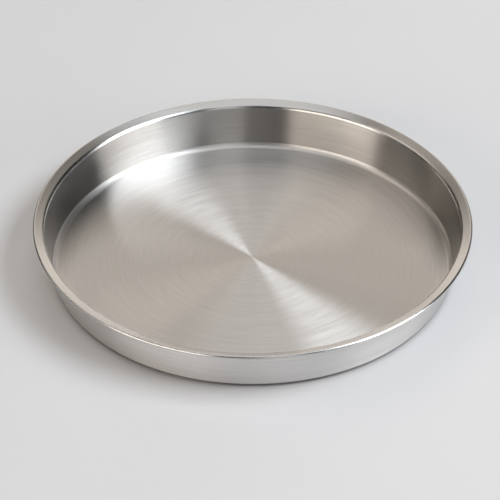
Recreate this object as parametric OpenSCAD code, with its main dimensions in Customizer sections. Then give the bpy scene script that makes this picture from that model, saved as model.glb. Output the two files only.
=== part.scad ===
// Round shallow pan pressed from one disc of stainless steel sheet, with a leaning wall,
// a rounded corner all round the floor, and a sloping lip whose edge is rolled round a wire.
// The origin is the middle of the underside, and +Z is up through the open side.

/* [Pan] */
// Diameter over the rolled edge, mm
rim_d = 300; // [240:1:400]
// Height from the underside to the top of the rolled edge, mm
pan_h = 35; // [25:1:60]
// Thickness of the steel sheet, mm
sheet_t = 0.6; // [0.4:0.05:0.8]
// Inside radius of the corner between floor and wall, mm
corner_r = 3.5; // [2:0.5:12]
// Lean of the wall outwards from upright, degrees
wall_lean = 8; // [2:0.5:20]

/* [Lip] */
// Radius of the bend from wall to lip, on its upper side, mm
bend_r = 3; // [1.5:0.5:6]
// Reach of the lip, from the centre of its bend to the centre of the roll, mm
lip_w = 4; // [2:0.5:8]
// Climb of the lip towards its outer edge, degrees
lip_rise = 20; // [0:1:30]

/* [Rim wire] */
// Diameter of the wire inside the rolled edge, mm
wire_d = 1.2; // [0.8:0.1:3]
// Space between the wire and the sheet rolled round it, mm
wire_gap = 0.03; // [0.02:0.01:0.1]
// Space between the two cut ends of the wire, mm
wire_joint = 0.5; // [0.3:0.1:2]
// Direction of the wire's joint, anticlockwise from +X, degrees
joint_angle = 216; // [0:1:359]

/* [Hidden] */
$fn = 180;

// Outer radius of the roll, which takes the wire and one thickness of sheet.
roll_r = wire_d / 2 + wire_gap + sheet_t;
// The sheet turns this far round the wire, so that its cut edge faces the wall, degrees.
roll_sweep = 270;

// Centres of the three arcs of the cross-section, as [distance from the axis, height].
// The flat stretches between the arcs run tangent to both.
roll_c = [rim_d / 2 - roll_r, pan_h - roll_r];
bend_c = roll_c + [-lip_w, (roll_r - bend_r) / cos(lip_rise) - lip_w * tan(lip_rise)];
corner_y = sheet_t + corner_r;
corner_x = bend_c.x - (bend_c.y - corner_y) * tan(wall_lean) - (bend_r + corner_r) / cos(wall_lean);
corner_c = [corner_x, corner_y];

// Directions in which the upper or inner side of the floor, wall and lip faces, in degrees.
// The corner curves the other way, so its arc is measured from the opposite side.
floor_facing = 90;
wall_facing = 180 - wall_lean;
lip_facing = 90 + lip_rise;

// Steps along each arc.
corner_steps = 12;
bend_steps = 8;
roll_steps = 30;

// Points along an arc, both ends included.
function arc(centre, radius, from, to, steps) = [
    for (i = [0 : steps])
        let (angle = from + (to - from) * i / steps)
        centre + radius * [cos(angle), sin(angle)]
];

// One side of the sheet from the middle of the floor to the end of the roll, at a depth
// below the upper side.
function sheet_side(depth) = concat(
    [[0, sheet_t - depth]],
    arc(corner_c, corner_r + depth, floor_facing - 180, wall_facing - 180, corner_steps),
    arc(bend_c, bend_r - depth, wall_facing, lip_facing, bend_steps),
    arc(roll_c, roll_r - depth, lip_facing, lip_facing - roll_sweep, roll_steps)
);

function reversed(list) = [for (i = [len(list) - 1 : -1 : 0]) list[i]];

// The pressed body: floor, corner, wall, lip and rolled edge, all one sheet.
module pan_shell() {
    color("gainsboro")
        rotate_extrude()
            polygon(concat(sheet_side(0), reversed(sheet_side(sheet_t))));
}

// The stiffening wire inside the roll, bent into a ring with its two ends almost meeting.
module rim_wire() {
    joint_turn = wire_joint / (2 * PI * roll_c.x) * 360;
    color("darkgray")
        rotate([0, 0, joint_angle + joint_turn / 2])
            rotate_extrude(angle = 360 - joint_turn)
                translate(roll_c)
                    circle(d = wire_d);
}

pan_shell();
rim_wire();
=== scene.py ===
"""A round, shallow pan of stainless steel sheet, standing on a plain pale table in soft studio light.

The pan's cross-section is turned round its axis in small steps, so that its corner, bend and rolled
edge are true curves, with exact normals for the reflections. Every length is in metres.
"""

from math import cos, pi, radians, sin, tan

import bpy
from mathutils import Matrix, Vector


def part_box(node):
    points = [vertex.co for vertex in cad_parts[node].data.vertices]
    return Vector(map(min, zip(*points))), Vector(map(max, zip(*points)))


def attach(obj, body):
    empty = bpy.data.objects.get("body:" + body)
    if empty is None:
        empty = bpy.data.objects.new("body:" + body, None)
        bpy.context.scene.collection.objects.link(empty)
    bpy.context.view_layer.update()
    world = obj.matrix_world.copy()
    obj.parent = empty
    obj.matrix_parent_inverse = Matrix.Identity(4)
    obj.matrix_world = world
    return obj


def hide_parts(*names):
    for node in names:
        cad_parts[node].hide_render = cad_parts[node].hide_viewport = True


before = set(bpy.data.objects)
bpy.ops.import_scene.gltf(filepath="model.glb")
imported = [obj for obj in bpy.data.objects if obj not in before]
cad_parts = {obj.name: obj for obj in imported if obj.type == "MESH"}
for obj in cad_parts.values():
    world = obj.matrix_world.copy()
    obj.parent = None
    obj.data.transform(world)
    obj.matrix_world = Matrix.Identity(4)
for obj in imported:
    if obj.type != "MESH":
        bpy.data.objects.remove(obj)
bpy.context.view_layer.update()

MM = 0.001


# ---------------------------------------------------------------- the pan's cross-section

SHEET = 0.6 * MM               # thickness of the steel
CORNER_R = 3.5 * MM            # inside radius between floor and wall
WALL_LEAN = radians(8)
BEND_R = 3 * MM                # upper side of the bend from wall to lip
LIP_W = 4 * MM                 # from the bend's centre to the roll's centre
LIP_RISE = radians(20)
ROLL_R = 1.23 * MM             # outside of the rolled edge
ROLL_SWEEP = radians(270)

SPOKES = 360                   # steps round the axis
FLOOR_RINGS = 44
BASE_RINGS = 22
WALL_RINGS = 10
LIP_RINGS = 4
CORNER_STEPS = 20
BEND_STEPS = 14
BEND_UNDER_STEPS = 10
ROLL_STEPS = 40
ROLL_INNER_STEPS = 24

AXIS_TOLERANCE = 0.001 * MM    # a point nearer the axis than this closes the mesh in one vertex


def polar(angle, distance):
    return Vector((cos(angle), sin(angle))) * distance


def arc(centre, radius, start, end, steps, hollow=False):
    """A run of (point, facing) along an arc. The facing is the direction that the surface looks."""
    turns = [start + (end - start) * i / steps for i in range(steps + 1)]
    return [(centre + polar(a, radius), a + pi * hollow) for a in turns]


def straight(start, end, facing, steps):
    """A run of (point, facing) along a straight stretch."""
    return [(start.lerp(end, i / steps), facing) for i in range(steps + 1)]


def sheet_runs(rim_r, height):
    """The cross-section as (material, run), from the floor's middle round the roll to the base's."""
    roll = Vector((rim_r - ROLL_R, height - ROLL_R))
    bend = roll + Vector((-LIP_W, (ROLL_R - BEND_R) / cos(LIP_RISE) - LIP_W * tan(LIP_RISE)))
    corner_y = SHEET + CORNER_R
    corner_x = (
        bend.x - (bend.y - corner_y) * tan(WALL_LEAN) - (BEND_R + CORNER_R) / cos(WALL_LEAN)
    )
    corner = Vector((corner_x, corner_y))
    floor_edge = Vector((corner_x, SHEET))
    base_edge = Vector((corner_x, 0))
    up = pi / 2
    wall = pi - WALL_LEAN
    lip = up + LIP_RISE
    cut = lip - ROLL_SWEEP
    bend_under = BEND_R - SHEET
    roll_inside = ROLL_R - SHEET
    corner_outside = CORNER_R + SHEET
    return [
        ("floor", straight(Vector((0, SHEET)), floor_edge, up, FLOOR_RINGS)),
        ("corner", arc(corner, CORNER_R, up - pi, wall - pi, CORNER_STEPS, hollow=True)),
        ("wall", straight(corner - polar(wall, CORNER_R), bend + polar(wall, BEND_R),
                          wall, WALL_RINGS)),
        ("lip", arc(bend, BEND_R, wall, lip, BEND_STEPS)),
        ("lip", straight(bend + polar(lip, BEND_R), roll + polar(lip, ROLL_R), lip, LIP_RINGS)),
        ("lip", arc(roll, ROLL_R, lip, cut, ROLL_STEPS)),
        ("lip", straight(roll + polar(cut, ROLL_R), roll + polar(cut, roll_inside), cut - up, 1)),
        ("lip", arc(roll, roll_inside, cut, lip, ROLL_INNER_STEPS, hollow=True)),
        ("lip", straight(roll + polar(lip, roll_inside), bend + polar(lip, bend_under),
                         lip + pi, LIP_RINGS)),
        ("outer_wall", arc(bend, bend_under, lip, wall, BEND_UNDER_STEPS, hollow=True)),
        ("outer_wall", straight(bend + polar(wall, bend_under), corner - polar(wall, corner_outside),
                                wall + pi, WALL_RINGS)),
        ("base", arc(corner, corner_outside, wall - pi, up - pi, CORNER_STEPS)),
        ("base", straight(base_edge, Vector((0, 0)), -up, BASE_RINGS)),
    ]


def lathe(name, runs, materials):
    """Turns the runs round the Z axis into one closed mesh, each run with its own material."""
    points, normals, faces, slots = [], [], [], []
    order = list(materials)

    def ring(point):
        """The new points' indices, one for each spoke, or the same one for all on the axis."""
        first = len(points)
        if point.x < AXIS_TOLERANCE:
            points.append((0, 0, point.y))
            return [first] * SPOKES
        for k in range(SPOKES):
            a = 2 * pi * k / SPOKES
            points.append((point.x * cos(a), point.x * sin(a), point.y))
        return [first + k for k in range(SPOKES)]

    first_run = runs[0][1]
    last = ring(first_run[0][0])
    for part, run in runs:
        for (_, facing_a), (point, facing_b) in zip(run, run[1:]):
            here = ring(point)
            for k in range(SPOKES):
                n = (k + 1) % SPOKES
                corners = [(last[k], k, facing_a), (here[k], k, facing_b),
                           (here[n], k + 1, facing_b), (last[n], k + 1, facing_a)]
                if last[k] == last[n]:
                    corners.pop()
                elif here[k] == here[n]:
                    corners.pop(2)
                faces.append([index for index, _, _ in corners])
                slots.append(order.index(part))
                for _, spoke, facing in corners:
                    a = 2 * pi * spoke / SPOKES
                    normals.append((cos(facing) * cos(a), cos(facing) * sin(a), sin(facing)))
            last = here

    mesh = bpy.data.meshes.new(name)
    mesh.from_pydata(points, [], faces)
    for part in order:
        mesh.materials.append(materials[part])
    mesh.polygons.foreach_set("material_index", slots)
    mesh.polygons.foreach_set("use_smooth", [True] * len(faces))
    mesh.normals_split_custom_set(normals)
    mesh.update()
    return place(name, mesh)


def place(name, data):
    """Puts a mesh, light or camera in the scene as a new object."""
    thing = bpy.data.objects.new(name, data)
    bpy.context.scene.collection.objects.link(thing)
    return thing


# ---------------------------------------------------------------- materials

class Nodes:
    """Short names for building a node tree."""

    def __init__(self, tree):
        self.tree = tree

    def add(self, kind, **settings):
        node = self.tree.nodes.new("ShaderNode" + kind)
        for key, value in settings.items():
            setattr(node, key, value)
        return node

    def put(self, value, socket):
        """Links an output to the socket, or sets a plain value on it."""
        if isinstance(value, bpy.types.NodeSocket):
            self.tree.links.new(value, socket)
        else:
            socket.default_value = value

    def math(self, operation, a, b=0.0):
        node = self.add("Math", operation=operation)
        self.put(a, node.inputs[0])
        self.put(b, node.inputs[1])
        return node.outputs[0]

    def noise(self, vector, scale=1.0, detail=2.0, rough=0.5):
        node = self.add("TexNoise")
        self.put(vector, node.inputs["Vector"])
        self.put(scale, node.inputs["Scale"])
        self.put(detail, node.inputs["Detail"])
        self.put(rough, node.inputs["Roughness"])
        return node.outputs["Fac"]

    def spread(self, value, low, high, out_low, out_high, smooth=False):
        """Carries low to out_low and high to out_high, and stops there."""
        node = self.add("MapRange", interpolation_type="SMOOTHSTEP" if smooth else "LINEAR")
        self.put(value, node.inputs["Value"])
        self.put(low, node.inputs["From Min"])
        self.put(high, node.inputs["From Max"])
        self.put(out_low, node.inputs["To Min"])
        self.put(out_high, node.inputs["To Max"])
        return node.outputs["Result"]

    def mix(self, share, a, b):
        """Colour a where the share is 0, and b where it is 1."""
        node = self.add("Mix", data_type="RGBA")
        share_socket, a_socket, b_socket = node.inputs[0], node.inputs[6], node.inputs[7]
        self.put(share, share_socket)
        self.put(a, a_socket)
        self.put(b, b_socket)
        colour = node.outputs[2]
        return colour

    def turned(self, around, across):
        """Coordinates for marks left by turning: long round the axis, fine across it."""
        split = self.add("SeparateXYZ")
        self.put(self.add("TexCoord").outputs["Object"], split.inputs[0])
        x, y, z = split.outputs
        radius = self.math("SQRT", self.math("ADD", self.math("MULTIPLY", x, x),
                                             self.math("MULTIPLY", y, y)))
        safe = self.math("MAXIMUM", radius, 2 * MM)
        join = self.add("CombineXYZ")
        self.put(self.math("MULTIPLY", self.math("DIVIDE", x, safe), around), join.inputs[0])
        self.put(self.math("MULTIPLY", self.math("DIVIDE", y, safe), around), join.inputs[1])
        self.put(self.math("MULTIPLY", self.math("ADD", radius, z), across), join.inputs[2])
        return join.outputs[0]


def principled(name):
    """A new material, its nodes and its shader."""
    material = bpy.data.materials.new(name)
    material.use_nodes = True
    return material, Nodes(material.node_tree), material.node_tree.nodes["Principled BSDF"]


def turning_marks(n):
    """Hair lines, scratches and broader rings round the axis, as one height from 0 to 1."""
    hair = n.noise(n.turned(7.0, 2600.0), detail=2.0, rough=0.6)
    scratch = n.noise(n.turned(4.0, 900.0), detail=2.0, rough=0.5)
    ring = n.noise(n.turned(1.2, 260.0), detail=2.0, rough=0.5)
    broader = n.math("ADD", n.math("MULTIPLY", scratch, 0.45), n.math("MULTIPLY", ring, 0.3))
    return n.math("ADD", n.math("MULTIPLY", hair, 0.25), broader)


def turned_steel(name, colour, roughness, anisotropy, streak, groove):
    """Stainless steel brushed round the pan's axis.

    The streak is the share by which the marks change colour and roughness, and the groove is their
    depth.
    """
    material, n, shader = principled(name)
    marks = turning_marks(n)
    share = n.spread(marks, 0.36, 0.64, 0.0, 1.0)
    dark = tuple(c * (1 - streak) for c in colour) + (1,)
    light = tuple(c * (1 + streak) for c in colour) + (1,)
    n.put(n.mix(share, dark, light), shader.inputs["Base Color"])
    n.put(n.spread(share, 0.0, 1.0, roughness * (1 - streak), roughness * (1 + streak)),
          shader.inputs["Roughness"])
    shader.inputs["Metallic"].default_value = 1.0
    shader.inputs["Anisotropic"].default_value = anisotropy
    shader.inputs["Anisotropic Rotation"].default_value = 0.25
    n.put(n.add("Tangent", direction_type="RADIAL", axis="Z").outputs[0], shader.inputs["Tangent"])
    bump = n.add("Bump")
    n.put(1.0, bump.inputs["Strength"])
    n.put(groove, bump.inputs["Distance"])
    n.put(marks, bump.inputs["Height"])
    n.put(bump.outputs[0], shader.inputs["Normal"])
    return material


STEEL = (0.605, 0.60, 0.592)
STEEL_PAINTED_LIGHTER = (0.70, 0.685, 0.67)      # painted light: the same steel made lighter, for surfaces that look brighter
STEEL_PAINTED_DARKER = (0.53, 0.51, 0.49)        # painted shade: the same steel made darker, for the inner wall that looks darker
STEEL_PAINTED_SHADE = (0.20, 0.195, 0.19)       # painted shade: nearly black steel that stands for the contact shadow under the pan
WIRE_STEEL = (0.5, 0.5, 0.5)


def brushed_floor():
    return turned_steel("brushed_floor", STEEL, roughness=0.33, anisotropy=1.0,
                        streak=0.09, groove=0.004 * MM)


# Painted highlight: the corner ring takes a steel colour lighter than the floor's, so that it looks
# brighter.
def satin_corner():
    return turned_steel("satin_corner", STEEL_PAINTED_LIGHTER, roughness=0.4, anisotropy=0.9,
                        streak=0.06, groove=0.003 * MM)


# Painted shade: the inner wall takes a steel colour darker than the floor's, so that it looks darker.
def satin_inner_wall():
    return turned_steel("satin_inner_wall", STEEL_PAINTED_DARKER, roughness=0.22, anisotropy=0.99,
                        streak=0.08, groove=0.002 * MM)


def polished_lip():
    return turned_steel("polished_lip", STEEL, roughness=0.26, anisotropy=0.9,
                        streak=0.04, groove=0.001 * MM)


# Painted light: the outer wall takes a steel colour lighter than the floor's, so that it looks
# brighter.
def satin_outer_wall():
    return turned_steel("satin_outer_wall", STEEL_PAINTED_LIGHTER, roughness=0.32, anisotropy=0.9,
                        streak=0.06, groove=0.002 * MM)


# Painted shade: the base and the outer corner arc take a nearly black steel colour, which stands for
# the contact shadow under the pan.
def painted_shade_base():
    return turned_steel("painted_shade_base", STEEL_PAINTED_SHADE, roughness=0.5, anisotropy=0.9,
                        streak=0.12, groove=0.004 * MM)


def drawn_wire():
    return turned_steel("drawn_wire", WIRE_STEEL, roughness=0.4, anisotropy=0.5,
                        streak=0.1, groove=0.002 * MM)


def pale_table():
    material, n, shader = principled("pale_table")
    tone = n.noise(n.add("TexCoord").outputs["Object"], scale=3.0, detail=3.0)
    n.put(n.mix(n.spread(tone, 0.3, 0.7, 0.0, 1.0), (0.68, 0.68, 0.69, 1), (0.71, 0.71, 0.72, 1)),
          shader.inputs["Base Color"])
    shader.inputs["Roughness"].default_value = 0.7
    return material


# ---------------------------------------------------------------- the pan and its wire

def pressed_pan():
    """The pan's one sheet, as wide and as high as the CAD part."""
    low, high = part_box("pan_shell")
    runs = sheet_runs((high.x - low.x) / 2, high.z)
    materials = {
        "floor": brushed_floor(),
        "corner": satin_corner(),
        "wall": satin_inner_wall(),
        "lip": polished_lip(),
        "outer_wall": satin_outer_wall(),
        "base": painted_shade_base(),
    }
    pan = lathe("pressed_pan", runs, materials)
    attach(pan, "root")
    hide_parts("pan_shell")


def rim_wire():
    """The CAD part's own wire, in better steel."""
    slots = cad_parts["rim_wire"].data.materials
    slots.clear()
    slots.append(drawn_wire())


# ---------------------------------------------------------------- table, light and camera

TABLE_HALF = 3.0

WHITE = (1.0, 1.0, 1.0)
WARM = (1.1, 1.0, 0.9)
DAYLIGHT = (0.95, 1.0, 1.05)

# Soft panels round the pan: azimuth, elevation, half width and half height in degrees, strength
PANELS = [
    (0, 80, 180, 15, 1.1, WHITE),       # ceiling
    (90, 30, 20, 25, 1.0, WARM),        # behind the pan
    (165, 45, 30, 15, 1.0, WARM),       # on the left
    (225, 15, 25, 15, 3.0, WARM),       # on the left, in front and low
    (285, 30, 10, 25, 0.8, WHITE),      # beside the camera
    (-20, 10, 20, 10, 5.0, WHITE),      # under the window
]
PANEL_SOFTNESS = radians(4)

WINDOW_AZIMUTH = -15
WINDOW_ELEVATION = 50
WINDOW_DISTANCE = 3.0
WINDOW_W = 2.0
WINDOW_H = 1.2
WINDOW_WATTS = 60

CAMERA_DISTANCE = 1.469
CAMERA_AZIMUTH = -90
CAMERA_ELEVATION = 37.1
CAMERA_TILT = 36.89            # degrees below level that the lens looks
CAMERA_TURN = 0.087            # degrees anticlockwise from square on to the pan
CAMERA_LENS = 152.5            # mm, on a sensor 36 mm wide
CAMERA_SENSOR = 36.0
CAMERA_REACH = 20.0


def toward(azimuth, elevation):
    """Unit vector. The azimuth is anticlockwise from +X, and both angles are in degrees."""
    a, e = radians(azimuth), radians(elevation)
    return Vector((cos(a) * cos(e), sin(a) * cos(e), sin(e)))


def table_top():
    """A plain pale table, far wider than the view."""
    h = TABLE_HALF
    mesh = bpy.data.meshes.new("table_top")
    mesh.from_pydata([(-h, -h, 0), (h, -h, 0), (h, h, 0), (-h, h, 0)], [], [(0, 1, 2, 3)])
    mesh.materials.append(pale_table())
    table = place("table_top", mesh)


def window():
    """A rectangular light that faces the pan."""
    light = bpy.data.lights.new("window", "AREA")
    light.shape = "RECTANGLE"
    light.size = WINDOW_W
    light.size_y = WINDOW_H
    light.energy = WINDOW_WATTS
    light.color = DAYLIGHT
    lamp = place("window", light)
    lamp.location = toward(WINDOW_AZIMUTH, WINDOW_ELEVATION) * WINDOW_DISTANCE
    lamp.rotation_euler = lamp.location.to_track_quat("Z", "Y").to_euler()


def panel_edge(n, offset, half_size):
    """1 inside the panel's half size and 0 outside it, with a soft edge."""
    return n.spread(offset, half_size - PANEL_SOFTNESS, half_size + PANEL_SOFTNESS, 1.0, 0.0,
                    smooth=True)


def panel_glow(n, azimuth, elevation, panel):
    """One panel's light, for the direction that the azimuth and elevation outputs give."""
    at_azimuth, at_elevation, half_w, half_h, strength, colour = panel
    turn = n.add("Math", operation="WRAP")
    n.put(n.math("SUBTRACT", azimuth, radians(at_azimuth)), turn.inputs[0])
    n.put(pi, turn.inputs[1])
    n.put(-pi, turn.inputs[2])
    aside = n.math("ABSOLUTE", turn.outputs[0])
    above = n.math("ABSOLUTE", n.math("SUBTRACT", elevation, radians(at_elevation)))
    shape = n.math("MULTIPLY", panel_edge(n, aside, radians(half_w)),
                   panel_edge(n, above, radians(half_h)))
    tint = n.add("VectorMath", operation="SCALE")
    n.put(colour, tint.inputs[0])
    n.put(n.math("MULTIPLY", shape, strength), tint.inputs["Scale"])
    return tint.outputs[0]


def studio_room():
    """The room round the table, which the steel mirrors: dark, with soft bright panels in it."""
    world = bpy.data.worlds.new("studio_room")
    world.use_nodes = True
    n = Nodes(world.node_tree)
    split = n.add("SeparateXYZ")
    n.put(n.add("TexCoord").outputs["Generated"], split.inputs[0])
    x, y, z = split.outputs
    azimuth = n.math("ARCTAN2", y, x)
    elevation = n.math("ARCSINE", z)
    light = (0.0, 0.0, 0.0)
    for panel in PANELS:
        both = n.add("VectorMath", operation="ADD")
        n.put(light, both.inputs[0])
        n.put(panel_glow(n, azimuth, elevation, panel), both.inputs[1])
        light = both.outputs[0]
    n.put(light, world.node_tree.nodes["Background"].inputs["Color"])
    bpy.context.scene.world = world


def camera():
    """Looks down at the pan from in front, from far off with a long lens."""
    lens = bpy.data.cameras.new("camera")
    lens.lens = CAMERA_LENS
    lens.sensor_width = CAMERA_SENSOR
    lens.clip_end = CAMERA_REACH
    view = place("camera", lens)
    view.location = toward(CAMERA_AZIMUTH, CAMERA_ELEVATION) * CAMERA_DISTANCE
    view.rotation_euler = (pi / 2 - radians(CAMERA_TILT), 0, radians(CAMERA_TURN))
    bpy.context.scene.camera = view


pressed_pan()
rim_wire()
table_top()
studio_room()
window()
camera()
bpy.context.scene.view_settings.view_transform = "Standard"
